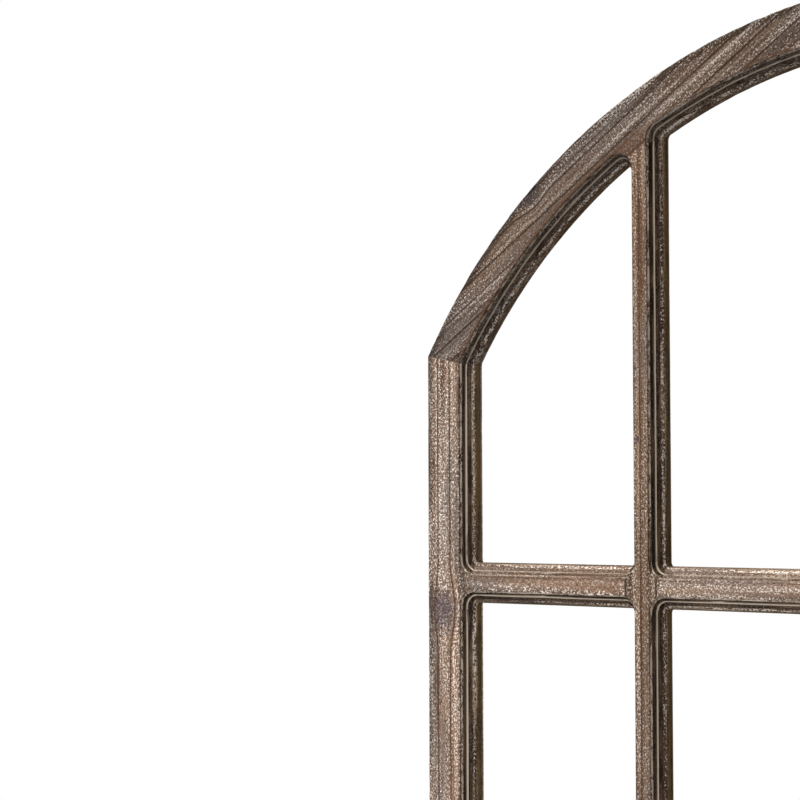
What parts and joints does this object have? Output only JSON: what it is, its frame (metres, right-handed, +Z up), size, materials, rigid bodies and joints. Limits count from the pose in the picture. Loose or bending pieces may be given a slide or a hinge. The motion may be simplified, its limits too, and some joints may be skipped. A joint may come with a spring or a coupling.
{
  "type": "arched window mirror",
  "caption": "Wall mirror made as a wooden window sash with an arched head, a grid of moulded glazing bars and two rear hanging rings.",
  "frame": {"origin": "on the wall plane, midway between the pins of the two hanging rings", "axes": "+Y points into the wall, the mirror faces -Y, X runs along the wall and +Z is up"},
  "size_m": [0.914, 0.0305, 1.219],
  "materials": {
    "weathered_wood": "wire-brushed fir with a grey-brown stain, a dark stain in the recesses and a rubbed whitewash",
    "joinery_wood": "plain beech, hidden in the joints",
    "mirror": "silvered float glass",
    "hardboard": "smooth brown hardboard",
    "plated_steel": "zinc-plated steel",
    "rubber": "soft black rubber"
  },
  "bodies": {
    "frame": {"arch_left": "weathered_wood", "arch_right": "weathered_wood", "backing_board": "hardboard", "bar_dowels": "joinery_wood", "bar_row1_column1": "weathered_wood", "bar_row1_column2": "weathered_wood", "bar_row1_column3": "weathered_wood", "bar_row1_column4": "weathered_wood", "bar_row2_column1": "weathered_wood", "bar_row2_column2": "weathered_wood", "bar_row2_column3": "weathered_wood", "bar_row2_column4": "weathered_wood", "bar_row3_column1": "weathered_wood", "bar_row3_column2": "weathered_wood", "bar_row3_column3": "weathered_wood", "bar_row3_column4": "weathered_wood", "board_clips": "plated_steel", "bottom_rail": "weathered_wood", "clip_screws": "plated_steel", "corner_dowels": "joinery_wood", "crown_loose_tenon": "joinery_wood", "hanger_strap_left": "plated_steel", "hanger_strap_right": "plated_steel", "mirror_glass": "mirror", "muntin_left": "weathered_wood", "muntin_middle": "weathered_wood", "muntin_right": "weathered_wood", "shoulder_loose_tenon_left": "joinery_wood", "shoulder_loose_tenon_right": "joinery_wood", "stile_left": "weathered_wood", "stile_right": "weathered_wood", "strap_screws": "plated_steel", "wall_bumper_left": "rubber", "wall_bumper_right": "rubber"},
    "ring_left": {"hanger_ring_left": "plated_steel"},
    "ring_right": {"hanger_ring_right": "plated_steel"}
  },
  "joints": [
    {"name": "ring_left_swing", "type": "hinge", "parent": "frame", "child": "ring_left", "pos_m": [-0.439, -0.00392, 0], "axis": [1, 0, 0], "range_deg": [0, 180]},
    {"name": "ring_right_swing", "type": "hinge", "parent": "frame", "child": "ring_right", "pos_m": [0.439, -0.00392, 0], "axis": [1, 0, 0], "range_deg": [0, 180]}
  ]
}
